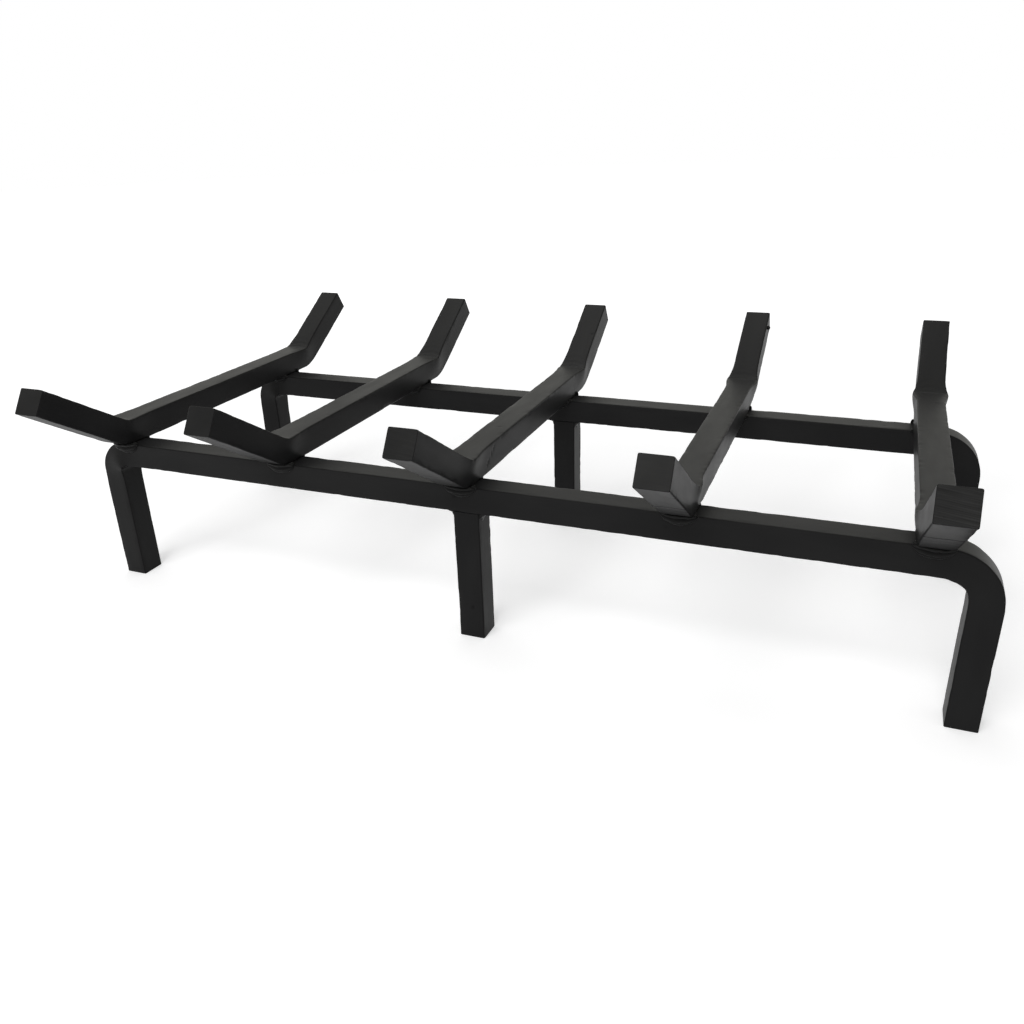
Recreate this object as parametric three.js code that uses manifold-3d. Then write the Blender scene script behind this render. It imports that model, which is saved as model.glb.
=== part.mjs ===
// Log grate: two square-bar rails with bent-down end legs, a centre leg under each rail, and a row
// of log bars welded across them, each bent up at the front and at the rear to hold the wood.
// Millimetres, +X to the right, +Y away from the viewer, +Z up. The origin is on the floor, under
// the middle of the whole grate.
import * as THREE from 'three';
import { mergeVertices } from 'three/addons/utils/BufferGeometryUtils.js';
import Module from 'manifold-3d';

// Bar stock
const barSize = 19.05;            // side of the square bar that every main piece is cut from
const edgeRadius = 1.3;           // rounding of the bar's long edges

// Rails, each one bar bent down into an end leg at both ends
const railLength = 644;           // over the outer faces of the two end legs
const railTopHeight = 116;        // from the floor to the top of the rail
const railSpacing = 203.6;        // from the front rail's front face to the rear rail's front face
const railLeftInnerBend = 6;      // inside radius where the rail turns down at its left end
const railRightInnerBend = 15;    // inside radius where the rail turns down at its right end

// Centre legs
const centreLegShift = -4.2;      // from the middle of the rail, to the left where negative

// Log bars, spread along the rails from the left end to the right end
const logBarStrays = [0, 1, -0.5, 2.6, 0];    // how far right of its even place each bar is welded
const leftBarInset = 14.5;        // from the left leg's outer face to the first bar's side
const rightBarInset = 31.1;       // from the right leg's outer face to the last bar's side
const logInnerBend = 13;          // inside radius where a log bar turns up
const frontBendSetback = 5.3;     // from the front rail's front face back to where the bar turns up
const frontArmAngle = 32.5;       // degrees above level
const frontArmLength = 76.7;      // straight length of the arm past its bend
const rearBendGap = 15.8;         // from the rear rail's back face to where the bar turns up
const rearArmAngle = 31.7;        // degrees above level
const rearArmLength = 76;         // straight length of the arm past its bend

// Welds
const beadOverhang = 2;           // how far a bead runs past each side of the log bar
const beadDrop = 7.5;             // how far a bead runs down the rail's face
const beadReach = 5;              // how far a bead stands out from the rail's face
const filletWidth = 9.5;          // how far a leg's fillet runs along the rail
const filletHeight = 7.6;         // how far a leg's fillet runs down the leg
const filletToe = 1;              // thickness of a fillet where it runs out

// Facets
const edgeSteps = 2;              // facets round a long edge
const bendSteps = 4;              // half the facets along a bend
const beadFacets = 16;            // facets round a bead
const filletSteps = 3;            // half the facets along a fillet's hollow

// Finish
const barColour = 0x1d1d1f;
const barRoughness = 0.42;
const weldColour = 0x171719;
const weldRoughness = 0.5;
const paintMetalness = 0.1;

// Sizes that follow
const halfBar = barSize / 2;
const railUnderside = railTopHeight - barSize;
const firstBarPlace = leftBarInset + halfBar - railLength / 2;
const lastBarPlace = railLength / 2 - rightBarInset - halfBar;
const logBarPitch = (lastBarPlace - firstBarPlace) / (logBarStrays.length - 1);
const frontArm = {
  bendStart: frontBendSetback,
  lean: -1,
  angle: THREE.MathUtils.degToRad(frontArmAngle),
  length: frontArmLength,
};
const rearArm = {
  bendStart: railSpacing + barSize + rearBendGap,
  lean: 1,
  angle: THREE.MathUtils.degToRad(rearArmAngle),
  length: rearArmLength,
};

const wasm = await Module();
wasm.setup();

// Point of a log bar's arm in the bar's own upright plane, `along` the arm from its bend and
// `depth` below the arm's upper face.
function pointOnArm({ bendStart, lean, angle }, along, depth) {
  const radius = logInnerBend + depth;
  const bendHeight = railTopHeight + barSize + logInnerBend;
  return new THREE.Vector2(
    bendStart + lean * (radius * Math.sin(angle) + along * Math.cos(angle)),
    bendHeight - radius * Math.cos(angle) + along * Math.sin(angle),
  );
}

// Outline of the bar's square section, with its four long edges rounded.
function barSection() {
  const flat = halfBar - edgeRadius;
  const corners = [[flat, flat], [-flat, flat], [-flat, -flat], [flat, -flat]];
  return corners.flatMap(([x, y], corner) => {
    const start = corner * Math.PI / 2;
    const edge = new THREE.EllipseCurve(x, y, edgeRadius, edgeRadius, start, start + Math.PI / 2);
    return edge.getPoints(edgeSteps);
  });
}

// Square to the path at one of its points, and long enough to keep the bar's faces flat on both
// sides of a mitre.
function mitreAt(points, index) {
  const normals = [];
  for (const [from, to] of [[index - 1, index], [index, index + 1]]) {
    if (points[from] && points[to]) {
      const run = points[to].clone().sub(points[from]).normalize();
      normals.push(new THREE.Vector2(-run.y, run.x));
    }
  }
  const first = normals[0];
  const last = normals[normals.length - 1];
  return first.clone().add(last).divideScalar(1 + first.dot(last));
}

// A closed solid through rings that all have as many points.
function closedTube(rings) {
  const count = rings[0].length;
  const positions = rings.flat().flatMap((point) => point.toArray());
  const index = [];
  for (let ring = 0; ring < rings.length - 1; ring += 1) {
    for (let step = 0; step < count; step += 1) {
      const here = ring * count + step;
      const next = ring * count + (step + 1) % count;
      index.push(here, next, next + count, here, next + count, here + count);
    }
  }
  const lastRing = (rings.length - 1) * count;
  for (let step = 1; step < count - 1; step += 1) {
    index.push(0, step + 1, step);
    index.push(lastRing, lastRing + step, lastRing + step + 1);
  }
  const tube = new THREE.BufferGeometry();
  tube.setAttribute('position', new THREE.Float32BufferAttribute(positions, 3));
  tube.setIndex(index);
  return faceted(tube);
}

function faceted(geometry) {
  const flatSided = geometry.toNonIndexed();
  flatSided.computeVertexNormals();
  return flatSided;
}

// A bar along a flat path. `place` turns the path's along, across and up into X, Y and Z.
function bentBar(path, place) {
  const points = path.getPoints(bendSteps).filter((point, index, all) => (
    index === 0 || point.distanceTo(all[index - 1]) > Number.EPSILON * railLength
  ));
  const section = barSection();
  return closedTube(points.map((point, index) => {
    const mitre = mitreAt(points, index);
    return section.map(({ x: across, y: up }) => (
      place(point.x + up * mitre.x, across, point.y + up * mitre.y)
    ));
  }));
}

const alongX = (along, across, up) => new THREE.Vector3(along, across, up);
const alongY = (along, across, up) => new THREE.Vector3(-across, along, up);

// Rail with its two end legs, from the left foot over the top to the right foot.
function railGeometry() {
  const legCentre = railLength / 2 - halfBar;
  const barHeight = railTopHeight - halfBar;
  const leftBend = railLeftInnerBend + halfBar;
  const rightBend = railRightInnerBend + halfBar;
  const path = new THREE.Path();
  path.moveTo(-legCentre, 0);
  path.lineTo(-legCentre, barHeight - leftBend);
  path.absarc(leftBend - legCentre, barHeight - leftBend, leftBend, Math.PI, Math.PI / 2, true);
  path.absarc(legCentre - rightBend, barHeight - rightBend, rightBend, Math.PI / 2, 0, true);
  path.lineTo(legCentre, 0);
  return bentBar(path, alongX);
}

// Log bar, from the tip of its front arm over the flat to the tip of its rear arm.
function logBarGeometry() {
  const bend = logInnerBend + halfBar;
  const bendHeight = railTopHeight + barSize + logInnerBend;
  const down = -Math.PI / 2;
  const frontTip = pointOnArm(frontArm, frontArm.length, halfBar);
  const frontBendEnd = pointOnArm(frontArm, 0, halfBar);
  const rearTip = pointOnArm(rearArm, rearArm.length, halfBar);
  const path = new THREE.Path();
  path.moveTo(frontTip.x, frontTip.y);
  path.lineTo(frontBendEnd.x, frontBendEnd.y);
  path.absarc(frontArm.bendStart, bendHeight, bend, down - frontArm.angle, down, false);
  path.absarc(rearArm.bendStart, bendHeight, bend, down, down + rearArm.angle, false);
  path.lineTo(rearTip.x, rearTip.y);
  return bentBar(path, alongY);
}

// Straight leg from the floor to the rail's underside.
function centreLegGeometry() {
  const path = new THREE.Path();
  path.moveTo(0, 0);
  path.lineTo(0, railUnderside);
  return bentBar(path, alongX);
}

function manifoldOf(geometry) {
  const bare = geometry.clone();
  bare.deleteAttribute('normal');
  bare.deleteAttribute('uv');
  const merged = mergeVertices(bare);
  return new wasm.Manifold(new wasm.Mesh({
    numProp: 3,
    vertProperties: new Float32Array(merged.attributes.position.array),
    triVerts: new Uint32Array(merged.index.array),
  }));
}

function geometryOf(manifold) {
  const { vertProperties, triVerts } = manifold.getMesh();
  const geometry = new THREE.BufferGeometry();
  geometry.setAttribute('position', new THREE.BufferAttribute(vertProperties, 3));
  geometry.setIndex(new THREE.BufferAttribute(triVerts, 1));
  return faceted(geometry);
}

// Weld bead in the corner between a rail's upright face and a log bar: part of a long round blob,
// flat where it lies on the face, with the bar above cut out of it. Its length runs along X and it
// stands out from the face at `y` towards -Y where `side` is -1, towards +Y where it is 1.
function beadGeometry(y, side, logBar) {
  const halfLength = halfBar + beadOverhang;
  const blob = new THREE.SphereGeometry(1, beadFacets, beadFacets / 2);
  blob.rotateZ(Math.PI / 2);
  blob.scale(halfLength, beadReach, beadDrop);
  const front = new THREE.BoxGeometry(2 * halfLength, beadReach, 2 * beadDrop);
  front.translate(0, side * beadReach / 2, -beadDrop / 2);
  const bead = manifoldOf(blob).intersect(manifoldOf(front)).translate([0, y, railTopHeight]);
  return geometryOf(bead.subtract(logBar)).translate(0, -y, -railTopHeight);
}

// Hollow fillet in the corner between a centre leg and the rail, on the leg's right-hand side.
function filletGeometry() {
  const shape = new THREE.Shape();
  shape.moveTo(0, 0);
  shape.lineTo(filletWidth, 0);
  shape.lineTo(filletWidth, -filletToe);
  shape.absellipse(filletWidth, -filletHeight, filletWidth - filletToe, filletHeight - filletToe,
    Math.PI / 2, Math.PI, false);
  shape.lineTo(0, -filletHeight);
  const depth = barSize - 2 * edgeRadius;
  const fillet = new THREE.ExtrudeGeometry(shape, {
    depth,
    bevelEnabled: false,
    curveSegments: filletSteps,
  });
  fillet.translate(0, 0, -depth / 2);
  fillet.rotateX(Math.PI / 2);
  return fillet;
}

const grate = new THREE.Group();
// Inside this group the front rail's front face is at zero. It centres the grate on the origin.
const frame = new THREE.Group();
const frontReach = pointOnArm(frontArm, frontArm.length, barSize).x;
const rearReach = pointOnArm(rearArm, rearArm.length, barSize).x;
frame.position.y = -(frontReach + rearReach) / 2;
grate.add(frame);

function addPiece(name, geometry, material, x, y, z) {
  const mesh = new THREE.Mesh(geometry, material);
  mesh.name = name;
  mesh.position.set(x, y, z);
  frame.add(mesh);
}

function addBar(name, geometry, x, y) {
  const paint = new THREE.MeshStandardMaterial({
    color: barColour,
    roughness: barRoughness,
    metalness: paintMetalness,
  });
  addPiece(name, geometry, paint, x, y, 0);
}

function addWeld(name, geometry, x, y, z) {
  const paint = new THREE.MeshStandardMaterial({
    color: weldColour,
    roughness: weldRoughness,
    metalness: paintMetalness,
  });
  addPiece(name, geometry, paint, x, y, z);
}

const rails = [
  { name: 'front', face: 0, frontBead: 'outer', backBead: 'inner' },
  { name: 'rear', face: railSpacing, frontBead: 'inner', backBead: 'outer' },
];

for (const { name, face } of rails) {
  const middle = face + halfBar;
  const legLeft = centreLegShift - halfBar;
  const legRight = centreLegShift + halfBar;
  addBar(`${name}_rail`, railGeometry(), 0, middle);
  addBar(`${name}_centre_leg`, centreLegGeometry(), centreLegShift, middle);
  addWeld(`${name}_leg_right_fillet`, filletGeometry(), legRight, middle, railUnderside);
  addWeld(`${name}_leg_left_fillet`, filletGeometry().rotateZ(Math.PI), legLeft, middle, railUnderside);
}

const logBar = manifoldOf(logBarGeometry());
logBarStrays.forEach((stray, index) => {
  const bar = index + 1;
  const x = firstBarPlace + index * logBarPitch + stray;
  addBar(`log_bar_${bar}`, logBarGeometry(), x, 0);
  for (const { name, face, frontBead, backBead } of rails) {
    const back = face + barSize;
    const frontWeld = beadGeometry(face, -1, logBar);
    const backWeld = beadGeometry(back, 1, logBar);
    addWeld(`${name}_rail_${frontBead}_weld_${bar}`, frontWeld, x, face, railTopHeight);
    addWeld(`${name}_rail_${backBead}_weld_${bar}`, backWeld, x, back, railTopHeight);
  }
});

export default grate;
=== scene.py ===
from math import cos, pi, radians, sin, sqrt, tan

import bmesh
import bpy
from mathutils import Matrix, Vector
from mathutils import noise as noiseField


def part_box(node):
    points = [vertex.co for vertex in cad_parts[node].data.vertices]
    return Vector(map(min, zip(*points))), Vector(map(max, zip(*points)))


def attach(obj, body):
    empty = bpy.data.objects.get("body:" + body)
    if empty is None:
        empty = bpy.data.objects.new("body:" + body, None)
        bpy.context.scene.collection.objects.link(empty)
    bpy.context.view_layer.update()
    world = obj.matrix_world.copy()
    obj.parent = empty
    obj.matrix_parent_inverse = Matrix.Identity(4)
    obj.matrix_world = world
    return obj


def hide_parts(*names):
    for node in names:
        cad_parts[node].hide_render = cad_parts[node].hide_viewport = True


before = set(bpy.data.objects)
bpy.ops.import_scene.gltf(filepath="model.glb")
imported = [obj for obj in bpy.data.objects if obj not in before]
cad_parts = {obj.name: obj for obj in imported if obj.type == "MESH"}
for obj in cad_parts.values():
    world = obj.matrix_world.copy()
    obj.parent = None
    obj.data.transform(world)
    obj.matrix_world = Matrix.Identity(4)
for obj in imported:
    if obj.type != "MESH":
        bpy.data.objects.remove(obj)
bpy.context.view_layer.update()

print("frame loaded:", len(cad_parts), "solids")


# node tree helpers

def feed(tree, socket, value):
    if isinstance(value, bpy.types.NodeSocket):
        tree.links.new(value, socket)
    elif value is not None:
        socket.default_value = value


def addNode(tree, kind, settings=None, **inputs):
    node = tree.nodes.new(kind)
    for key, value in (settings or {}).items():
        setattr(node, key, value)
    for key, value in inputs.items():
        feed(tree, node.inputs[key.replace("_", " ")], value)
    return node


def maths(tree, operation, *values, clamp=False):
    node = addNode(tree, "ShaderNodeMath", {"operation": operation, "use_clamp": clamp})
    for socket, value in zip(node.inputs, values):
        feed(tree, socket, value)
    return node.outputs[0]


def product(tree, first, *others):
    for other in others:
        first = maths(tree, "MULTIPLY", first, other)
    return first


def total(tree, first, *others):
    for other in others:
        first = maths(tree, "ADD", first, other)
    return first


def minus(tree, first, second):
    return maths(tree, "SUBTRACT", first, second)


def vectorMaths(tree, operation, *values):
    node = addNode(tree, "ShaderNodeVectorMath", {"operation": operation})
    for socket, value in zip(node.inputs, values):
        feed(tree, socket, value)
    return node.outputs["Value" if operation in ("DOT_PRODUCT", "LENGTH") else 0]


def scaleVector(tree, vector, factor):
    node = addNode(tree, "ShaderNodeVectorMath", {"operation": "SCALE"}, Vector=vector, Scale=factor)
    return node.outputs[0]


def stretch(tree, vector, factors):
    return vectorMaths(tree, "MULTIPLY", vector, factors)


def keepWithin(tree, vector, limits):
    # each part of the vector held between minus and plus its limit
    lowest = scaleVector(tree, limits, -1.0)
    return vectorMaths(tree, "MINIMUM", vectorMaths(tree, "MAXIMUM", vector, lowest), limits)


def combine(tree, x, y, z):
    return addNode(tree, "ShaderNodeCombineXYZ", X=x, Y=y, Z=z).outputs[0]


def separate(tree, vector):
    return addNode(tree, "ShaderNodeSeparateXYZ", Vector=vector).outputs


def ease(tree, value, start, end, low=0.0, high=1.0):
    node = addNode(tree, "ShaderNodeMapRange", {"interpolation_type": "SMOOTHSTEP"}, Value=value,
                   From_Min=start, From_Max=end, To_Min=low, To_Max=high)
    return node.outputs["Result"]


def hump(tree, value, centre, width):
    # bell curve round a centre, 1 at its top
    away = maths(tree, "DIVIDE", minus(tree, value, centre), width)
    return maths(tree, "EXPONENT", product(tree, away, away, -1.0))


def noise(tree, vector, scale, detail=2.0, roughness=0.5):
    node = addNode(tree, "ShaderNodeTexNoise", Vector=vector, Scale=scale, Detail=detail, Roughness=roughness)
    return node.outputs[0]


def attribute(tree, name, output):
    return addNode(tree, "ShaderNodeAttribute", {"attribute_name": name}).outputs[output]


def storeAttribute(tree, mesh, name, value, kind="FLOAT", domain="POINT", selection=None):
    node = addNode(tree, "GeometryNodeStoreNamedAttribute", {"data_type": kind, "domain": domain},
                   Geometry=mesh, Selection=selection, Name=name, Value=value)
    return node.outputs[0]


def newTree(kind, name, inputs, outputs):
    tree = bpy.data.node_groups.new(name, kind)
    for inOut, sockets in (("INPUT", inputs), ("OUTPUT", outputs)):
        for socketName, socketType, *default in sockets:
            socket = tree.interface.new_socket(socketName, in_out=inOut, socket_type="NodeSocket" + socketType)
            if default:
                socket.default_value = default[0]
    return tree, addNode(tree, "NodeGroupInput").outputs, addNode(tree, "NodeGroupOutput").inputs


# paint

paintGrain = {
    "patches": (0.32, 0.70),
    "drift": {"scale": 2.3, "from": 0.3, "to": 0.7},    # its scale is a multiple of the patches' scale
    "speck": {"edge": (0.10, 0.02), "rarerThan": 0.86},
}


def makePaintTexture():
    # satin black paint: soft mottling, orange peel and specks of dust under the coat, and painted shade in
    # creases and grooves
    tree, given, result = newTree("ShaderNodeTree", "paintTexture", [
        ("Dark", "Color", (0.0095, 0.0095, 0.0099, 1.0)),
        ("Light", "Color", (0.0125, 0.0125, 0.0128, 1.0)),
        ("Patch Scale", "Float", 45.0),
        ("Peel Scale", "Float", 900.0),
        ("Peel Height", "Float", 0.12),
        ("Speck Scale", "Float", 140.0),
        ("Roughness Low", "Float", 0.37),
        ("Roughness High", "Float", 0.43),
        ("Hollow Shade", "Float", 0.6),
        ("Place", "Vector", (0.0, 0.0, 0.0)),
    ], [("Color", "Color"), ("Roughness", "Float"), ("Height", "Float"), ("Shade", "Float")])
    place = given["Place"]
    patches = noise(tree, place, given["Patch Scale"])
    tone = addNode(tree, "ShaderNodeMix", {"data_type": "RGBA"})
    feed(tree, tone.inputs[0], ease(tree, patches, *paintGrain["patches"]))
    feed(tree, tone.inputs[6], given["Dark"])
    feed(tree, tone.inputs[7], given["Light"])
    feed(tree, result["Color"], tone.outputs[2])

    drift = paintGrain["drift"]
    finer = noise(tree, place, product(tree, given["Patch Scale"], drift["scale"]), 3.0)
    rough = addNode(tree, "ShaderNodeMapRange", Value=finer, From_Min=drift["from"], From_Max=drift["to"])
    feed(tree, rough.inputs["To Min"], given["Roughness Low"])
    feed(tree, rough.inputs["To Max"], given["Roughness High"])
    feed(tree, result["Roughness"], rough.outputs["Result"])

    cells = addNode(tree, "ShaderNodeTexVoronoi", Vector=place, Scale=given["Speck Scale"])
    chosen = separate(tree, cells.outputs["Color"])[0]
    speck = product(tree, ease(tree, cells.outputs["Distance"], *paintGrain["speck"]["edge"]),
                    maths(tree, "GREATER_THAN", chosen, paintGrain["speck"]["rarerThan"]))
    peel = product(tree, noise(tree, place, given["Peel Scale"]), given["Peel Height"])
    feed(tree, result["Height"], total(tree, peel, speck))

    # painted shade: colour and mirroring are darkened in creases, grooves and along edges
    hollow = attribute(tree, "hollow", "Fac")
    feed(tree, result["Shade"], minus(tree, 1.0, product(tree, hollow, given["Hollow Shade"])))
    return tree


def makeSawMarks():
    # fine parallel lines of a cut end, along the bar's own coordinates
    tree, given, result = newTree("ShaderNodeTree", "sawMarks", [
        ("Lines", "Float", 1200.0),
        ("Stretch", "Float", 18.0),
        ("Slant", "Float", -0.14),
        ("Contrast", "Float", 2.4),
    ], [("Height", "Float"), ("Shade", "Float")])
    place = separate(tree, attribute(tree, "barPlace", "Vector"))
    mask = attribute(tree, "sawnEnd", "Fac")
    across = total(tree, place[2], product(tree, place[1], given["Slant"]))
    row = combine(tree, product(tree, place[1], given["Stretch"]), 0.0, product(tree, across, given["Lines"]))
    lines = noise(tree, row, 1.0, 3.0, 0.7)
    feed(tree, result["Height"], product(tree, lines, mask))
    change = product(tree, minus(tree, lines, 0.5), mask, given["Contrast"])
    feed(tree, result["Shade"], total(tree, change, 1.0))
    return tree


coat = {
    "tint": (1.0, 0.995, 0.955, 1.0),
    "barStretch": (0.3, 1.0, 1.0),      # the mottling runs along the bar
    "bumpDistance": 0.0002,
    # how much it mirrors, from where it faces the viewer to where it is seen at a flat angle
    "mirror": {"from": 0.80, "to": 0.98, "facing": 0.5, "grazing": 0.12},
}


def makePaint(name, textureValues, isBar, ior, bumpStrength):
    material = bpy.data.materials.new(name)
    material.use_nodes = True
    tree = material.node_tree
    shader = tree.nodes["Principled BSDF"]
    shader.inputs["IOR"].default_value = ior
    shader.inputs["Specular Tint"].default_value = coat["tint"]
    if isBar:
        place = stretch(tree, attribute(tree, "barPlace", "Vector"), coat["barStretch"])
    else:
        place = addNode(tree, "ShaderNodeTexCoord").outputs["Object"]
    texture = addNode(tree, "ShaderNodeGroup", {"node_tree": paintTexture}, Place=place)
    for key, value in textureValues.items():
        texture.inputs[key].default_value = value
    height, shade = texture.outputs["Height"], texture.outputs["Shade"]
    if isBar:
        saw = addNode(tree, "ShaderNodeGroup", {"node_tree": sawMarks})
        height = total(tree, height, saw.outputs["Height"])
        shade = product(tree, shade, saw.outputs["Shade"])
    # the coat is a little rough, so it mirrors less at a flat angle than smooth paint would
    mirror = coat["mirror"]
    facing = addNode(tree, "ShaderNodeLayerWeight", Blend=0.5).outputs["Facing"]
    mirrored = ease(tree, facing, mirror["from"], mirror["to"], mirror["facing"], mirror["grazing"])
    bump = addNode(tree, "ShaderNodeBump", Strength=bumpStrength, Distance=coat["bumpDistance"], Height=height)
    tree.links.new(scaleVector(tree, texture.outputs["Color"], shade), shader.inputs["Base Color"])
    tree.links.new(texture.outputs["Roughness"], shader.inputs["Roughness"])
    tree.links.new(product(tree, shade, mirrored), shader.inputs["Specular IOR Level"])
    tree.links.new(bump.outputs["Normal"], shader.inputs["Normal"])
    return material


paintTexture = makePaintTexture()
sawMarks = makeSawMarks()
barPaint = makePaint("barPaint", {}, isBar=True, ior=1.16, bumpStrength=0.25)
weldPaint = makePaint("weldPaint", {
    "Patch Scale": 160.0,
    "Peel Scale": 1400.0,
    "Peel Height": 0.5,
    "Roughness Low": 0.28,
    "Roughness High": 0.42,
}, isBar=False, ior=1.19, bumpStrength=0.4)
print("paint made")


# square bar bent along a path

# lengths are in metres; a pair of numbers goes from no effect to full effect; where they are shares,
# 0 is the bar's middle and 1 its face
steel = {
    "arcPoints": 14,
    "face": (0.86, 0.99),
    "squeezed": (-0.9, 0.9),
    "drawnIn": {"shares": (0.1, -1.0), "amount": 0.3},
    "filled": (-0.4, 1.0),
    "driftScale": 110.0,
    "fold": {"place": 0.0008, "width": 0.0014, "bow": 0.0024, "drift": 0.004},
    "lip": {"place": 0.0045, "width": 0.0028, "amount": 0.5},
    "scar": {"width": 0.0017, "drift": 0.012, "chipScale": 420.0, "chips": (0.36, 0.60),
             "upperEnd": (-0.002, 0.001), "lowerEnd": (0.012, 0.008)},
    "ripple": {"length": 0.0066, "place": 0.008, "width": 0.008, "bow": 2.0, "drift": 0.006,
               "fade": (0.95, 0.45)},
    "mark": {"width": 0.0012, "secondWidth": 0.0010, "secondAmount": 0.4, "drift": 0.003},
    "waves": {"slow": (16.0, 45.0, 45.0), "ridges": (6.0, 260.0, 260.0), "ridgeAmount": 0.25},
    "wear": {"scale": (75.0, 40.0, 40.0), "patches": (0.46, 0.72), "corner": (0.66, 0.92)},
    "dent": {"scale": (55.0, 80.0, 80.0), "edge": (0.14, 0.02), "rarerThan": 0.84},
    # how strongly creases, marks and the edges are darkened with painted shade
    "hollow": {"creases": 1400.0, "marks": 2000.0, "corner": (0.91, 0.985)},
    # shares of the end's rounding, and how much the cap narrows with each
    "endSteps": ((0.65, 0.992), (0.35, 0.975)),
}


def makeBentBar():
    tree, given, result = newTree("GeometryNodeTree", "bentBar", [
        ("Path", "Geometry"),
        ("Bar Size", "Float", 0.019),
        ("Edge Radius", "Float", 0.0013),
        ("End Round", "Float", 0.0006),
        ("Ring Step", "Float", 0.0011),
        ("Section Points", "Int", 72),
        ("Across", "Vector", (0.0, 1.0, 0.0)),
        ("First Bend", "Float", -1.0),
        ("Second Bend", "Float", 9.0),
        ("Bulge", "Float", 0.002),
        ("Bulge Width", "Float", 0.010),
        ("Bulge Shift", "Float", 0.0),
        ("Folds", "Vector", (0.0, 0.0, 0.0)),
        ("Fills", "Vector", (0.0, 0.0, 0.0)),
        ("Fill Width", "Float", 0.009),
        ("Scar", "Float", 0.0),
        ("Scar Place", "Vector", (0.0414, 0.0038, 1.45)),
        ("Ripples", "Float", 0.0),
        ("Waviness", "Float", 0.0003),
        ("Swell", "Float", 0.0),
        ("Side Swell", "Float", 0.0),
        ("Edge Shade", "Float", 0.75),
        ("Edge Wear", "Float", 0.0004),
        ("Dents", "Float", 0.0003),
        ("First Mark", "Float", -1.0),
        ("Second Mark", "Float", -1.0),
        ("Mark Depth", "Float", 0.0003),
        ("Saw Marks", "Float", 0.4),
        ("Seed", "Float", 0.0),
        ("Paint", "Material"),
    ], [("Bar", "Geometry")])
    half = product(tree, given["Bar Size"], 0.5)

    # the axis, with its corners rounded to each bend's own radius
    line = addNode(tree, "GeometryNodeMeshToCurve", Mesh=given["Path"]).outputs[0]
    bendRadius = addNode(tree, "GeometryNodeInputNamedAttribute", {"data_type": "FLOAT"}, Name="bendRadius")
    arcs = addNode(tree, "GeometryNodeFilletCurve", {"mode": "POLY"},
                   Curve=line, Count=steel["arcPoints"], Radius=bendRadius.outputs[0])
    wholeLength = addNode(tree, "GeometryNodeSplineLength").outputs["Length"]
    ends = addNode(tree, "GeometryNodeTrimCurve", {"mode": "LENGTH"}, Curve=arcs.outputs[0])
    feed(tree, ends.inputs[4], given["End Round"])
    feed(tree, ends.inputs[5], minus(tree, wholeLength, given["End Round"]))
    axis = addNode(tree, "GeometryNodeResampleCurve", {"mode": "LENGTH"},
                   Curve=ends.outputs[0], Length=given["Ring Step"])
    kept = addNode(tree, "GeometryNodeCaptureAttribute", Geometry=axis.outputs[0])
    for itemType, itemName, value in (
            ("VECTOR", "centre", addNode(tree, "GeometryNodeInputPosition").outputs[0]),
            ("VECTOR", "heading", addNode(tree, "GeometryNodeInputTangent").outputs[0]),
            ("FLOAT", "along", addNode(tree, "GeometryNodeSplineParameter").outputs["Length"])):
        kept.capture_items.new(itemType, itemName)
        feed(tree, kept.inputs[itemName], value)

    # the section: a square whose corners are pulled in to the edge radius
    square = addNode(tree, "GeometryNodeCurvePrimitiveQuadrilateral",
                     Width=given["Bar Size"], Height=given["Bar Size"])
    points = addNode(tree, "GeometryNodeResampleCurve", {"mode": "COUNT"},
                     Curve=square.outputs[0], Count=given["Section Points"])
    core = minus(tree, half, given["Edge Radius"])
    # points gather towards the corners, where the section turns
    corner = addNode(tree, "GeometryNodeInputPosition").outputs[0]
    corner = scaleVector(tree, corner, maths(tree, "DIVIDE", pi, given["Bar Size"]))
    corner = scaleVector(tree, vectorMaths(tree, "SINE", corner), half)
    inside = keepWithin(tree, corner, combine(tree, core, core, 0.0))
    outward = vectorMaths(tree, "NORMALIZE", vectorMaths(tree, "SUBTRACT", corner, inside))
    outward = scaleVector(tree, outward, given["Edge Radius"])
    section = addNode(tree, "GeometryNodeSetPosition",
                      Geometry=points.outputs[0], Position=vectorMaths(tree, "ADD", inside, outward))
    swept = addNode(tree, "GeometryNodeCurveToMesh",
                    Curve=kept.outputs["Geometry"], Profile_Curve=section.outputs[0], Fill_Caps=True)

    # each point's place in the bar: along it, across it, and towards the inside of the bends
    inward = vectorMaths(tree, "CROSS_PRODUCT", kept.outputs["heading"], given["Across"])
    inward = vectorMaths(tree, "NORMALIZE", inward)
    position = addNode(tree, "GeometryNodeInputPosition").outputs[0]
    reach = vectorMaths(tree, "SUBTRACT", position, kept.outputs["centre"])
    side = vectorMaths(tree, "DOT_PRODUCT", reach, given["Across"])
    rise = vectorMaths(tree, "DOT_PRODUCT", reach, inward)
    along = kept.outputs["along"]
    seeded = vectorMaths(tree, "ADD", combine(tree, along, side, rise), combine(tree, given["Seed"], 0.0, 0.0))
    sideShare = maths(tree, "DIVIDE", side, half)
    riseShare = maths(tree, "DIVIDE", rise, half)
    fromMiddle = maths(tree, "ABSOLUTE", sideShare)
    cornerShare = maths(tree, "MINIMUM", fromMiddle, maths(tree, "ABSOLUTE", riseShare))
    flatPlace = combine(tree, 0.0, side, rise)
    flatCore = keepWithin(tree, flatPlace, combine(tree, 0.0, core, core))
    facing = separate(tree, vectorMaths(tree, "NORMALIZE", vectorMaths(tree, "SUBTRACT", flatPlace, flatCore)))
    outFrom = vectorMaths(tree, "ADD", scaleVector(tree, given["Across"], facing[1]),
                          scaleVector(tree, inward, facing[2]))
    faceStart, faceFull = steel["face"]
    innerFace = ease(tree, riseShare, faceStart, faceFull)
    outerFace = ease(tree, riseShare, -faceStart, -faceFull)

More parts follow.
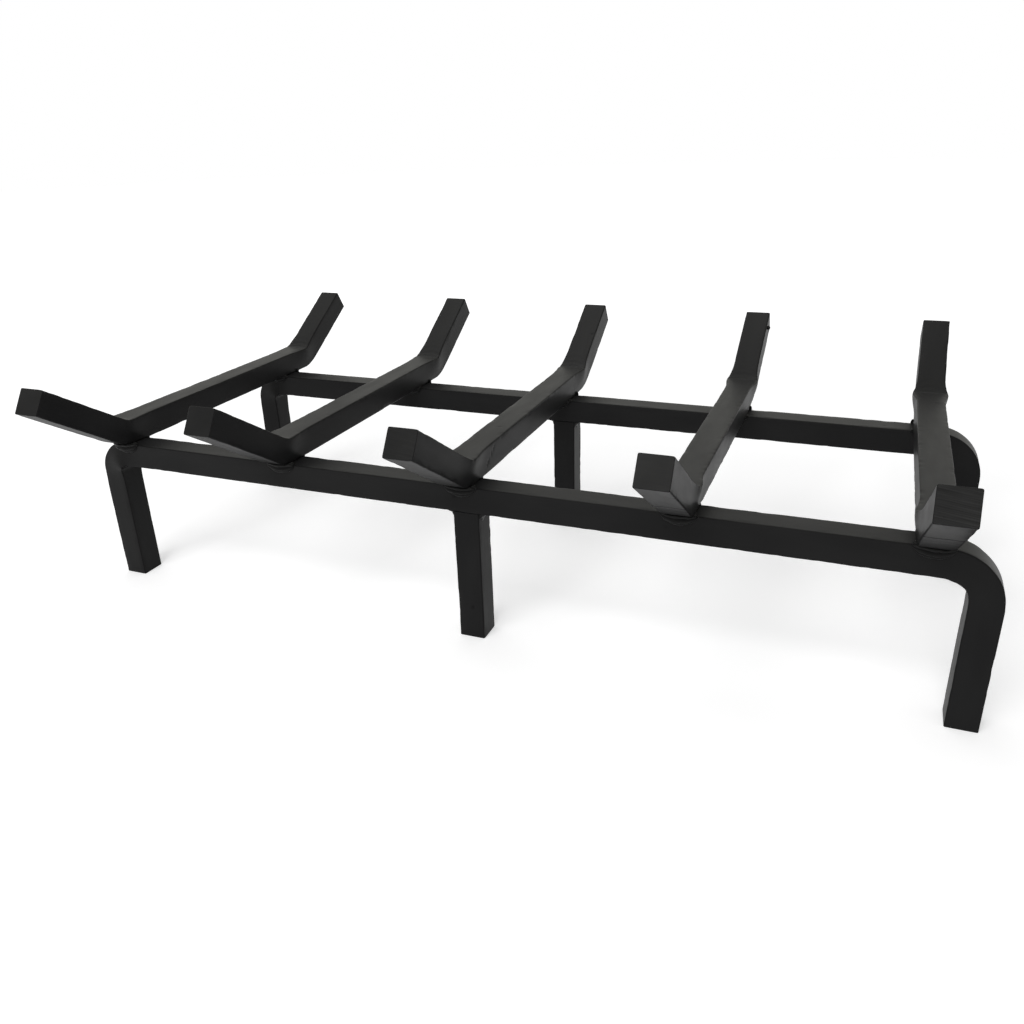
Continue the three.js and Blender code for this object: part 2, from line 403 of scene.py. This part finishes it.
    # how far each ring is from the middle of the nearer bend, more than 0 towards the bar's end
    halfWay = product(tree, total(tree, given["First Bend"], given["Second Bend"]), 0.5)
    isLater = maths(tree, "GREATER_THAN", along, halfWay)
    isEarlier = minus(tree, 1.0, isLater)
    pastSecond = product(tree, minus(tree, along, given["Second Bend"]), isLater)
    beforeFirst = product(tree, minus(tree, given["First Bend"], along), isEarlier)
    away = total(tree, pastSecond, beforeFirst)

    def atBend(pair):
        # the first or the second bend's own value
        both = separate(tree, pair)
        return total(tree, product(tree, both[1], isLater), product(tree, both[0], isEarlier))

    # bends: steel squeezed out sideways on the inside and drawn in on the outside
    drawnIn = steel["drawnIn"]
    insideShare = ease(tree, riseShare, *steel["squeezed"])
    outsideShare = ease(tree, riseShare, *drawnIn["shares"], 0.0, drawnIn["amount"])
    squeezed = hump(tree, away, product(tree, given["Bulge Shift"], -1.0), given["Bulge Width"])
    bulge = product(tree, given["Bulge"], squeezed,
                    product(tree, sideShare, minus(tree, insideShare, outsideShare)))
    sideways = total(tree, bulge, product(tree, sideShare, given["Side Swell"]))

    # steel that piles up inside a bend and sharpens its inner corner
    filled = product(tree, atBend(given["Fills"]), hump(tree, away, 0.0, given["Fill Width"]),
                     ease(tree, riseShare, *steel["filled"]))

    # a fold across the inner face, with a lip on each side of it
    crease, edge = steel["fold"], steel["lip"]
    drift = minus(tree, noise(tree, seeded, steel["driftScale"], 1.0), 0.5)
    bowed = product(tree, sideShare, sideShare, crease["bow"])
    foldPlace = total(tree, away, bowed, product(tree, drift, crease["drift"]))
    fold = product(tree, hump(tree, foldPlace, crease["place"], crease["width"]), innerFace)
    lip = product(tree, hump(tree, maths(tree, "ABSOLUTE", foldPlace), edge["place"], edge["width"]), innerFace)
    foldDepth = atBend(given["Folds"])
    folded = product(tree, minus(tree, fold, product(tree, lip, edge["amount"])), foldDepth)

    # a chipped scar that slants across one side, past the first bend
    gash = steel["scar"]
    scarAt = separate(tree, given["Scar Place"])
    below = minus(tree, minus(tree, half, rise), scarAt[1])
    chips = noise(tree, seeded, gash["chipScale"])
    scarLine = total(tree, minus(tree, product(tree, away, -1.0), scarAt[0]), product(tree, below, scarAt[2]),
                     product(tree, minus(tree, chips, 0.5), gash["drift"]))
    scar = product(tree, hump(tree, scarLine, 0.0, gash["width"]), ease(tree, chips, *gash["chips"]),
                   ease(tree, below, *gash["upperEnd"]), ease(tree, below, *gash["lowerEnd"]),
                   ease(tree, sideShare, -faceStart, -faceFull), isEarlier)

    # low ripples on the inner face, just past the bend
    ripple = steel["ripple"]
    ripplePlace = total(tree, away, product(tree, bowed, ripple["bow"]), product(tree, drift, ripple["drift"]))
    wave = maths(tree, "SINE", product(tree, ripplePlace, 2.0 * pi / ripple["length"]))
    rippled = product(tree, total(tree, product(tree, wave, 0.5), 0.5),
                      hump(tree, away, ripple["place"], ripple["width"]),
                      innerFace, ease(tree, fromMiddle, *ripple["fade"]))

    # press marks across the outer face
    mark = steel["mark"]
    markPlace = total(tree, along, product(tree, drift, mark["drift"]))
    firstMark = hump(tree, markPlace, given["First Mark"], mark["width"])
    secondMark = hump(tree, markPlace, given["Second Mark"], mark["secondWidth"])
    marks = total(tree, firstMark, product(tree, secondMark, mark["secondAmount"]))
    marks = product(tree, marks, outerFace)

    # rolling: slow waves and faint ridges that run along the bar
    roll = steel["waves"]
    slow = noise(tree, stretch(tree, seeded, roll["slow"]), 1.0)
    ridges = noise(tree, stretch(tree, seeded, roll["ridges"]), 1.0)
    waves = total(tree, product(tree, slow, 1.0 - roll["ridgeAmount"]),
                  product(tree, ridges, roll["ridgeAmount"]))
    waves = product(tree, waves, given["Waviness"])

    # worn edges, and a few small dents
    wear, dent = steel["wear"], steel["dent"]
    worn = product(tree, ease(tree, noise(tree, stretch(tree, seeded, wear["scale"]), 1.0), *wear["patches"]),
                   ease(tree, cornerShare, *wear["corner"]), given["Edge Wear"])
    pits = addNode(tree, "ShaderNodeTexVoronoi", Vector=stretch(tree, seeded, dent["scale"]), Scale=1.0)
    rare = maths(tree, "GREATER_THAN", separate(tree, pits.outputs["Color"])[0], dent["rarerThan"])
    dents = product(tree, ease(tree, pits.outputs["Distance"], *dent["edge"]), rare)

    sunk = minus(tree, total(tree, waves, worn, folded), given["Swell"])
    for shape, depth in ((scar, "Scar"), (rippled, "Ripples"), (marks, "Mark Depth"), (dents, "Dents")):
        sunk = total(tree, sunk, product(tree, shape, given[depth]))
    shift = vectorMaths(tree, "ADD", scaleVector(tree, given["Across"], sideways),
                        scaleVector(tree, inward, filled))
    shift = vectorMaths(tree, "ADD", shift, scaleVector(tree, outFrom, product(tree, sunk, -1.0)))

    # painted shade: the paint is darkened in creases, scars, marks and dents, and a painted dark line runs
    # along the bar's four edges
    shade = steel["hollow"]
    creases = total(tree, product(tree, fold, foldDepth), product(tree, scar, given["Scar"]))
    creases = product(tree, creases, shade["creases"])
    pressed = product(tree, total(tree, marks, dents), product(tree, given["Mark Depth"], shade["marks"]))
    edges = product(tree, ease(tree, cornerShare, *shade["corner"]), given["Edge Shade"])
    hollow = maths(tree, "ADD", total(tree, creases, pressed), edges, clamp=True)

    mesh = storeAttribute(tree, swept.outputs[0], "barPlace", seeded, "FLOAT_VECTOR")
    mesh = storeAttribute(tree, mesh, "hollow", hollow)
    mesh = addNode(tree, "GeometryNodeSetPosition", Geometry=mesh, Offset=shift).outputs[0]

    # cut ends: the two caps are drawn out in steps that get narrower, so their edges are rounded
    corners = addNode(tree, "GeometryNodeInputMeshFaceNeighbors").outputs["Vertex Count"]
    isCap = addNode(tree, "FunctionNodeCompare", {"data_type": "INT", "operation": "GREATER_THAN"})
    feed(tree, isCap.inputs[2], corners)
    feed(tree, isCap.inputs[3], 4)
    selection = isCap.outputs[0]
    for amount, width in steel["endSteps"]:
        drawn = addNode(tree, "GeometryNodeExtrudeMesh", {"mode": "FACES"},
                        Mesh=mesh, Selection=selection, Individual=False)
        feed(tree, drawn.inputs["Offset Scale"], product(tree, given["End Round"], amount))
        selection = drawn.outputs["Top"]
        mesh = addNode(tree, "GeometryNodeScaleElements", {"domain": "FACE"},
                       Geometry=drawn.outputs[0], Selection=selection, Scale=width).outputs[0]
    # the cut end faces get no painted shade
    mesh = storeAttribute(tree, mesh, "hollow", 0.0, selection=selection)
    mesh = storeAttribute(tree, mesh, "sawnEnd", product(tree, selection, given["Saw Marks"]), domain="FACE")
    smooth = addNode(tree, "GeometryNodeSetShadeSmooth", Geometry=mesh, Shade_Smooth=True)
    flat = addNode(tree, "GeometryNodeSetShadeSmooth",
                   Geometry=smooth.outputs[0], Selection=selection, Shade_Smooth=False)
    endTree(tree, flat.outputs[0], given["Paint"], result["Bar"])
    return tree


def endTree(tree, mesh, paint, output):
    whole = addNode(tree, "GeometryNodeRealizeInstances", Geometry=mesh)
    painted = addNode(tree, "GeometryNodeSetMaterial", Geometry=whole.outputs[0], Material=paint)
    feed(tree, output, painted.outputs[0])


def growPiece(name, vertices, edges, tree, inputs, bendRadii=()):
    # a path or a set of points, its tree, and the plain mesh that comes out of it
    mesh = bpy.data.meshes.new(name)
    mesh.from_pydata(vertices, edges, [])
    if bendRadii:
        mesh.attributes.new("bendRadius", "FLOAT", "POINT").data.foreach_set("value", bendRadii)
    piece = bpy.data.objects.new(name, mesh)
    bpy.context.scene.collection.objects.link(piece)
    grower = piece.modifiers.new("grower", "NODES")
    grower.node_group = tree
    identifiers = {item.name: item.identifier for item in tree.interface.items_tree
                   if item.item_type == "SOCKET" and item.in_out == "INPUT"}
    for key, value in inputs.items():
        grower[identifiers[key]] = value
    graph = bpy.context.evaluated_depsgraph_get()
    plain = bpy.data.meshes.new_from_object(
        piece.evaluated_get(graph), preserve_all_data_layers=True, depsgraph=graph)
    plain.name = name
    piece.modifiers.clear()
    piece.data = plain
    bpy.data.meshes.remove(mesh)
    return piece


bentBar = makeBentBar()

bar = {
    "Bar Size": 0.01905,
    "Edge Radius": 0.0009,
    "End Round": 0.0005,
    "Ring Step": 0.0009,
    "Section Points": 72,
    "Paint": barPaint,
}
halfBar = bar["Bar Size"] / 2
bentPath = [(0, 1), (1, 2), (2, 3)]
frontRailLow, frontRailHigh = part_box("front_rail")
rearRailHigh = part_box("rear_rail")[1]
railTop = frontRailHigh.z

logBar = {
    "innerBend": 0.013,
    "front": {"bendStart": frontRailLow.y + 0.0053, "angle": radians(32.5), "length": 0.0767},
    "rear": {"bendStart": rearRailHigh.y + 0.0158, "angle": radians(31.7), "length": 0.076},
    # one value for each bar, from left to right; marks are measured from the front tip
    "sawMarks": (0.12, 0.1, 0.35, 0.12, 1.0),
    "scars": (0.0, 0.0, 0.0005, 0.0, 0.0),
    "marks": (0.050, 0.048, 0.047, 0.0535, 0.0425),
    "markDepths": (0.0001, 0.0001, 0.0002, 0.0005, 0.0005),
    "bulges": (0.0018, 0.0020, 0.0022, 0.0027, 0.0027),
    "bulgeWidths": (0.016, 0.015, 0.014, 0.013, 0.013),
    "markGap": 0.011,
    "seedStep": 1.7,
    "drop": {"bar": 4, "fromTip": 0.0185, "outward": 0.0013, "upward": 0.007, "size": 0.0017},
}


def armPoints(arm, way):
    # the corner of the axis and the tip of one arm; way is 1 towards the rear and -1 towards the front
    tangent = (logBar["innerBend"] + halfBar) * tan(arm["angle"] / 2)
    corner = Vector((0.0, arm["bendStart"] + way * tangent, railTop + halfBar))
    tip = corner + Vector((0.0, way * cos(arm["angle"]), sin(arm["angle"]))) * (tangent + arm["length"])
    return corner, tip


def addDrop(piece, place, size):
    # a drop of weld spatter stuck to a bar's side
    mesh = bmesh.new()
    mesh.from_mesh(piece.data)
    made = bmesh.ops.create_icosphere(mesh, subdivisions=3, radius=size, matrix=Matrix.Translation(place))
    for vertex in made["verts"]:
        for face in vertex.link_faces:
            face.smooth = True
    mesh.to_mesh(piece.data)
    mesh.free()


def makeLogBars():
    front, rear, drop = logBar["front"], logBar["rear"], logBar["drop"]
    frontCorner, frontTip = armPoints(front, -1)
    rearCorner, rearTip = armPoints(rear, 1)
    bend = logBar["innerBend"] + halfBar
    firstBend = front["length"] + bend * front["angle"] / 2 - bar["End Round"]
    flatLength = rear["bendStart"] - front["bendStart"]
    secondBend = firstBend + flatLength + bend * (front["angle"] + rear["angle"]) / 2
    for index in range(5):
        name = f"log_bar_{index + 1}"
        low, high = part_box(name)
        centre = Vector(((low.x + high.x) / 2, 0.0, 0.0))
        path = [centre + point for point in (frontTip, frontCorner, rearCorner, rearTip)]
        piece = growPiece(f"bent_{name}", path, bentPath, bentBar, {
            **bar,
            "Across": (-1.0, 0.0, 0.0),
            "First Bend": firstBend,
            "Second Bend": secondBend,
            "Bulge": logBar["bulges"][index],
            "Bulge Width": logBar["bulgeWidths"][index],
            "Bulge Shift": 0.004,
            "Folds": (0.0001, 0.0001, 0.0),
            "Scar": logBar["scars"][index],
            "Ripples": 0.00015,
            "Waviness": 0.0002,
            "Swell": 0.00015,
            "Side Swell": 0.0004,
            "Edge Wear": 0.0003,
            "Dents": 0.0003,
            "First Mark": logBar["marks"][index],
            "Second Mark": logBar["marks"][index] + logBar["markGap"],
            "Mark Depth": logBar["markDepths"][index],
            "Saw Marks": logBar["sawMarks"][index],
            "Seed": logBar["seedStep"] * (index + 1),
        }, [bend] * 4)
        if index + 1 == drop["bar"]:
            downArm = (rearCorner - rearTip).normalized() * drop["fromTip"]
            aside = Vector((halfBar + drop["outward"], 0.0, drop["upward"]))
            addDrop(piece, centre + rearTip + downArm + aside, drop["size"])
        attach(piece, "root")
        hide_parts(name)


makeLogBars()
print("log bars bent")

rail = {
    "leftInnerBend": 0.006,
    "rightInnerBend": 0.015,
    "ringStep": 0.0011,
    "folds": (0.0007, 0.0, 0.0),
    "fills": (0.0003, -0.0014, 0.0),    # sharpens the left corner and rounds the right one
    "seeds": (20.0, 23.1),
}


def makeRails():
    leftBend, rightBend = rail["leftInnerBend"] + halfBar, rail["rightInnerBend"] + halfBar
    for name, seed in zip(("front_rail", "rear_rail"), rail["seeds"]):
        low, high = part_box(name)
        y = (low.y + high.y) / 2
        axisHeight = high.z - halfBar
        left, right = low.x + halfBar, high.x - halfBar
        path = [(left, y, 0.0), (left, y, axisHeight), (right, y, axisHeight), (right, y, 0.0)]
        firstBend = axisHeight - leftBend + leftBend * pi / 4
        straight = right - left - leftBend - rightBend
        secondBend = firstBend + leftBend * pi / 4 + straight + rightBend * pi / 4
        piece = growPiece(f"bent_{name}", path, bentPath, bentBar, {
            **bar,
            "Ring Step": rail["ringStep"],
            "Across": (0.0, -1.0, 0.0),
            "First Bend": firstBend,
            "Second Bend": secondBend,
            "Bulge": 0.0022,
            "Bulge Width": 0.013,
            "Folds": rail["folds"],
            "Fills": rail["fills"],
            "Waviness": 0.00022,
            "Side Swell": 0.0002,
            "Edge Wear": 0.0003,
            "Dents": 0.00025,
            "Seed": seed,
        }, [leftBend] * 2 + [rightBend] * 2)
        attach(piece, "root")
        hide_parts(name)


centreLegSeeds = {"front_centre_leg": 30.0, "rear_centre_leg": 32.3}


def makeCentreLegs():
    for name, seed in centreLegSeeds.items():
        low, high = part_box(name)
        x, y = (low.x + high.x) / 2, (low.y + high.y) / 2
        piece = growPiece(f"straight_{name}", [(x, y, high.z), (x, y, 0.0)], [(0, 1)], bentBar, {
            **bar,
            "Across": (0.0, -1.0, 0.0),
            "Bulge": 0.0,
            "Waviness": 0.0002,
            "Dents": 0.00025,
            "Seed": seed,
        }, [halfBar] * 2)
        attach(piece, "root")
        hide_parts(name)


makeRails()
makeCentreLegs()
print("rails and legs made")


# weld beads

beadForm = {
    "segments": 56,
    "rings": 28,
    "noiseSize": (0.011, 0.004, 0.006),     # metres; the ball as the noise sees it, a little less than a bead
    "lumps": {"scale": 260.0, "middle": 0.62},
    "wobble": {"scale": 140.0, "amount": 2.5},
    "ridgeTurns": 4.0,
    "beside": (-0.0006, 0.0004),    # metres past the bar's side over which the bead rises
    "mergeDistance": 0.00001,
    # the box a drop of spatter is strewn in: share of the length, metres outward, metres up
    "spatter": {"from": (0.42, 0.0004, -0.0004), "to": (0.54, 0.0008, 0.0003), "seed": 4},
}


def makeWeldBead():
    # one bead at every point: a lens in the corner under a bar, with ridges that follow it from end to end
    tree, given, result = newTree("GeometryNodeTree", "weldBead", [
        ("Places", "Geometry"),
        ("Bar Size", "Float", 0.019),
        ("Length", "Float", 0.022),
        ("Reach", "Float", 0.005),
        ("Drop", "Float", 0.0075),
        ("Side Rise", "Float", 0.002),
        ("Ceiling Radius", "Float", 9.0),
        ("Ceiling Start", "Float", 0.0),
        ("Buried", "Float", 0.0004),
        ("Outward", "Float", -1.0),
        ("Ridges", "Float", 2.5),
        ("Ridge Height", "Float", 0.20),
        ("Lumps", "Float", 0.30),
        ("Spatter Size", "Float", 0.0006),
        ("Paint", "Material"),
    ], [("Beads", "Geometry")])
    ball = addNode(tree, "GeometryNodeMeshUVSphere",
                   Segments=beadForm["segments"], Rings=beadForm["rings"], Radius=1.0)
    points = addNode(tree, "GeometryNodeMeshToPoints", Mesh=given["Places"], Radius=0.001)
    copies = addNode(tree, "GeometryNodeInstanceOnPoints", Points=points.outputs[0], Instance=ball.outputs[0])
    origin = addNode(tree, "GeometryNodeInputPosition").outputs[0]
    held = addNode(tree, "GeometryNodeCaptureAttribute", {"domain": "INSTANCE"}, Geometry=copies.outputs[0])
    held.capture_items.new("VECTOR", "anchor")
    feed(tree, held.inputs["anchor"], origin)
    anchor = held.outputs["anchor"]
    loose = addNode(tree, "GeometryNodeRealizeInstances", Geometry=held.outputs["Geometry"])

    # the ball's poles lie along the bead
    outwards, upwards, lengthways = separate(tree, vectorMaths(tree, "SUBTRACT", origin, anchor))
    turn = maths(tree, "ARCTAN2", product(tree, upwards, -1.0), outwards)
    sized = vectorMaths(tree, "ADD", anchor, stretch(
        tree, combine(tree, lengthways, outwards, upwards), beadForm["noiseSize"]))
    lumps, wobble = beadForm["lumps"], beadForm["wobble"]
    lump = product(tree, minus(tree, noise(tree, sized, lumps["scale"]), lumps["middle"]), given["Lumps"])
    drift = product(tree, noise(tree, sized, wobble["scale"], 1.0), wobble["amount"])
    ridgeAngle = product(tree, turn, beadForm["ridgeTurns"], given["Ridges"])
    ridge = maths(tree, "SINE", total(tree, ridgeAngle, drift))
    groove = product(tree, minus(tree, 1.0, ridge), 0.5)
    swell = minus(tree, total(tree, lump, 1.0), product(tree, groove, given["Ridge Height"]))
    x = product(tree, lengthways, given["Length"], 0.5)
    y = maths(tree, "MAXIMUM", product(tree, outwards, given["Reach"], swell),
              product(tree, given["Buried"], -1.0))

    # the bar's underside is the bead's ceiling, and beside the bar it rises a little higher
    fromBend = total(tree, y, given["Ceiling Start"])
    radius = given["Ceiling Radius"]
    ceiling = minus(tree, radius, maths(tree, "SQRT", minus(
        tree, product(tree, radius, radius), product(tree, fromBend, fromBend))))
    pastBar = minus(tree, maths(tree, "ABSOLUTE", x), product(tree, given["Bar Size"], 0.5))
    besideBar = product(tree, ease(tree, pastBar, *beadForm["beside"]), given["Side Rise"])
    ceiling = total(tree, ceiling, given["Buried"], besideBar)
    z = maths(tree, "MINIMUM", product(tree, upwards, given["Drop"], swell), ceiling)
    local = combine(tree, product(tree, x, given["Outward"]), product(tree, y, given["Outward"]), z)
    # painted shade in the grooves between the bead's ridges
    grooved = storeAttribute(tree, loose.outputs[0], "hollow", groove)
    formed = addNode(tree, "GeometryNodeSetPosition",
                     Geometry=grooved, Position=vectorMaths(tree, "ADD", anchor, local))
    merged = addNode(tree, "GeometryNodeMergeByDistance",
                     Geometry=formed.outputs[0], Distance=beadForm["mergeDistance"])

    # a drop of spatter stuck at one end of each bead
    drop = addNode(tree, "GeometryNodeMeshIcoSphere", Radius=given["Spatter Size"], Subdivisions=3)
    strewn = addNode(tree, "FunctionNodeRandomValue", {"data_type": "FLOAT_VECTOR"},
                     Seed=beadForm["spatter"]["seed"])
    for socket, end in zip(strewn.inputs, ("from", "to")):
        share, outward, upward = beadForm["spatter"][end]
        feed(tree, socket, combine(tree, product(tree, given["Length"], share),
                                   product(tree, given["Outward"], outward), upward))
    spots = addNode(tree, "GeometryNodeSetPosition", Geometry=points.outputs[0], Offset=strewn.outputs[0])
    drops = addNode(tree, "GeometryNodeInstanceOnPoints", Points=spots.outputs[0], Instance=drop.outputs[0])
    both = addNode(tree, "GeometryNodeJoinGeometry")
    tree.links.new(drops.outputs[0], both.inputs[0])
    tree.links.new(merged.outputs[0], both.inputs[0])
    smooth = addNode(tree, "GeometryNodeSetShadeSmooth", Geometry=both.outputs[0], Shade_Smooth=True)
    endTree(tree, smooth.outputs[0], given["Paint"], result["Beads"])
    return tree


weldBead = makeWeldBead()
# shares of the length, reach and drop of the solid beads, and the values that differ from row to row
beadRows = {
    "front_rail_outer_weld": ((1.0, 1.0, 1.0), {
        "Outward": -1.0, "Side Rise": 0.0015, "Ridge Height": 0.26,
        "Ceiling Radius": logBar["innerBend"] + bar["Bar Size"],
        "Ceiling Start": logBar["front"]["bendStart"] - frontRailLow.y}),
    "front_rail_inner_weld": ((0.86, 0.9, 1.0), {"Outward": 1.0, "Side Rise": 0.0, "Spatter Size": 0.0002}),
    "rear_rail_inner_weld": ((1.0, 1.3, 0.9), {
        "Outward": -1.0, "Side Rise": 0.0010, "Ridge Height": 0.08, "Lumps": 0.5}),
    "rear_rail_outer_weld": ((1.02, 1.35, 1.0), {"Outward": 1.0, "Side Rise": 0.0022, "Spatter Size": 0.0002}),
}
# how far right of its bar each bead under the front arms is laid
frontBeadStrays = (0.004, 0.002, 0.0015, 0.0, 0.0)


def makeBeads():
    for row, (shares, values) in beadRows.items():
        nodes = [f"{row}_{number}" for number in range(1, 6)]
        strays = frontBeadStrays if row == "front_rail_outer_weld" else (0.0,) * 5
        anchors = []
        for node, stray in zip(nodes, strays):
            low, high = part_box(node)
            anchors.append(((low.x + high.x) / 2 + stray, high.y if values["Outward"] < 0 else low.y, railTop))
        piece = growPiece(f"{row}_beads", anchors, [], weldBead, {
            "Bar Size": bar["Bar Size"],
            "Length": (high.x - low.x) * shares[0],
            "Reach": (high.y - low.y) * shares[1],
            "Drop": (railTop - low.z) * shares[2],
            "Paint": weldPaint,
            **values,
        })
        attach(piece, "root")
        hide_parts(*nodes)


fillet = {
    "rows": 40,
    "steps": 14,
    "buried": 0.0003,
    "endRound": 0.0016,
    "endSize": 0.55,        # share of the full size that is left at the two ends
    "ripple": 0.0018,
    "ripples": 2.3,
    "lumps": {"scale": (2.2, 420.0, 90.0), "sunk": 0.7, "raised": 0.14},
}


def filletRing(share, x, y, width, height, depth):
    # one cross-section: the corner point, buried in leg and rail, and a hollow curve between the two
    edge = min(share, 1 - share) * depth / fillet["endRound"]
    rounded = 1.0 if edge >= 1 else sqrt(max(0.0, 1 - (1 - edge) ** 2))
    rippled = fillet["ripple"] / height * (1 + sin(share * fillet["ripples"] * 2 * pi)) / 2
    full = fillet["endSize"] + (1 - fillet["endSize"]) * rounded - rippled
    lumps = fillet["lumps"]
    alongScale, rowScale, legScale = lumps["scale"]
    ring = [(-fillet["buried"], fillet["buried"])]
    for step in range(fillet["steps"] + 1):
        angle = pi / 2 * step / fillet["steps"]
        # low lumps left by the hand-held weld
        lump = noiseField.noise(Vector((angle * alongScale, y * rowScale, x * legScale)))
        size = full * (1 + lumps["sunk"] * min(0.0, lump)) + lumps["raised"] * lump * sin(2 * angle)
        ring.append((width * size * (1 - sin(angle)), -height * size * (1 - cos(angle))))
    ring[1] = (ring[1][0], fillet["buried"])
    ring[-1] = (-fillet["buried"], ring[-1][1])
    return ring


def makeFillet(name, x, low, high, toward):
    # a concave web in the corner under a rail; toward is -1 where the web runs left from the leg
    mesh = bmesh.new()
    width, height, depth = high.x - low.x, high.z - low.z, high.y - low.y
    rings = []
    for row in range(fillet["rows"] + 1):
        share = row / fillet["rows"]
        y = low.y + depth * share
        ring = filletRing(share, x, y, width, height, depth)
        rings.append([mesh.verts.new((x + toward * across, y, high.z + up)) for across, up in ring])
    for first, second in zip(rings, rings[1:]):
        for corner in range(len(first)):
            after = (corner + 1) % len(first)
            mesh.faces.new((first[corner], first[after], second[after], second[corner]))
    mesh.faces.new(rings[0])
    mesh.faces.new(rings[-1])
    bmesh.ops.recalc_face_normals(mesh, faces=mesh.faces)
    for face in mesh.faces:
        face.smooth = len(face.verts) == 4
    data = bpy.data.meshes.new(name)
    mesh.to_mesh(data)
    mesh.free()
    data.materials.append(weldPaint)
    piece = bpy.data.objects.new(name, data)
    bpy.context.scene.collection.objects.link(piece)
    return piece


def makeFillets():
    for leg in ("front_leg", "rear_leg"):
        for way, toward in (("left", -1), ("right", 1)):
            node = f"{leg}_{way}_fillet"
            low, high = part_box(node)
            piece = makeFillet(f"{node}_weld", high.x if toward < 0 else low.x, low, high, toward)
            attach(piece, "root")
            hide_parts(node)


makeBeads()
makeFillets()
print("welds laid")


# floor, light and camera

surroundings = {
    "white": 1.0,
    "mirrored": (1.0, 0.995, 0.935, 1.0),
    "diffuse": 0.40,
    "floorAlbedo": 0.82,
    "floorRoughness": 0.9,
    "floorRadius": 6.0,
    "floorCorners": 96,
    "floorLift": {"near": 0.36, "nearDistance": 0.45, "far": 0.80, "farDistance": 1.6},
}
lamps = {
    "keyLamp": {"place": (-0.15, -1.5, 1.5), "target": (0.0, 0.0, 0.08), "size": 1.3, "power": 25.0},
    "topLamp": {"place": (-0.45, 0.5, 1.9), "target": (0.0, 0.0, 0.1), "size": 1.5, "power": 10.0},
}
# the photograph's place and angle, found from the corners of the bars
view = {
    "place": (0.23593, -0.6163, 0.3406),
    "yaw": -0.39523,
    "pitch": 0.41822,
    "roll": -0.03302,
    "lens": 31.403,
    "sensor": 36.0,
    "nearest": 0.01,
}


def cameraOrMirror(tree):
    # 1 for what the camera sees directly, in a reflection or through glass
    path = addNode(tree, "ShaderNodeLightPath").outputs
    seen = maths(tree, "MAXIMUM", path["Is Camera Ray"], path["Is Glossy Ray"])
    return maths(tree, "MAXIMUM", seen, path["Is Transmission Ray"])


def makeWorld():
    world = bpy.data.worlds.new("studio")
    bpy.context.scene.world = world
    world.use_nodes = True
    tree = world.node_tree
    background = tree.nodes["Background"]
    # plain white, and a little warmer where the paint mirrors it
    colour = addNode(tree, "ShaderNodeMix", {"data_type": "RGBA"})
    feed(tree, colour.inputs[0], addNode(tree, "ShaderNodeLightPath").outputs["Is Glossy Ray"])
    colour.inputs[6].default_value = (1.0, 1.0, 1.0, 1.0)
    colour.inputs[7].default_value = surroundings["mirrored"]
    tree.links.new(colour.outputs[2], background.inputs["Color"])
    strength = addNode(tree, "ShaderNodeMapRange", Value=cameraOrMirror(tree))
    strength.inputs["To Min"].default_value = surroundings["diffuse"]
    strength.inputs["To Max"].default_value = surroundings["white"]
    tree.links.new(strength.outputs["Result"], background.inputs["Strength"])


def makeFloor():
    material = bpy.data.materials.new("paleFloor")
    material.use_nodes = True
    tree = material.node_tree
    shader = tree.nodes["Principled BSDF"]
    shader.inputs["Base Color"].default_value = (surroundings["floorAlbedo"],) * 3 + (1.0,)
    shader.inputs["Roughness"].default_value = surroundings["floorRoughness"]
    shader.inputs["Specular IOR Level"].default_value = 0.0
    shader.inputs["Emission Color"].default_value = (1.0, 1.0, 1.0, 1.0)
    # the floor stays white where the lamps no longer reach it
    lift = surroundings["floorLift"]
    distance = vectorMaths(tree, "LENGTH", addNode(tree, "ShaderNodeTexCoord").outputs["Object"])
    glow = ease(tree, distance, lift["nearDistance"], lift["farDistance"], lift["near"], lift["far"])
    tree.links.new(product(tree, cameraOrMirror(tree), glow), shader.inputs["Emission Strength"])
    bpy.ops.mesh.primitive_circle_add(vertices=surroundings["floorCorners"], radius=surroundings["floorRadius"],
                                      fill_type="NGON", location=(0.0, 0.0, 0.0))
    floor = bpy.context.object
    floor.name = "pale_floor"
    floor.data.materials.append(material)


def makeLamps():
    for name, values in lamps.items():
        lamp = bpy.data.lights.new(name, "AREA")
        lamp.shape = "SQUARE"
        lamp.size = values["size"]
        lamp.energy = values["power"]
        holder = bpy.data.objects.new(name, lamp)
        place = Vector(values["place"])
        turn = (Vector(values["target"]) - place).to_track_quat("-Z", "Y").to_matrix().to_4x4()
        holder.matrix_world = Matrix.Translation(place) @ turn
        bpy.context.scene.collection.objects.link(holder)


def makeCamera():
    yaw, pitch, roll = view["yaw"], view["pitch"], view["roll"]
    ahead = Vector((sin(yaw) * cos(pitch), cos(yaw) * cos(pitch), -sin(pitch)))
    right = ahead.cross(Vector((0.0, 0.0, 1.0))).normalized()
    up = right.cross(ahead)
    rolledRight = right * cos(roll) + up * sin(roll)
    rolledUp = up * cos(roll) - right * sin(roll)
    camera = bpy.data.cameras.new("camera")
    camera.lens = view["lens"]
    camera.sensor_width = view["sensor"]
    camera.clip_start = view["nearest"]
    holder = bpy.data.objects.new("camera", camera)
    turn = Matrix((rolledRight, rolledUp, -ahead)).transposed().to_4x4()
    holder.matrix_world = Matrix.Translation(view["place"]) @ turn
    bpy.context.scene.collection.objects.link(holder)
    bpy.context.scene.camera = holder


makeWorld()
makeFloor()
makeLamps()
makeCamera()
bpy.context.scene.view_settings.view_transform = "Standard"
print("studio set")
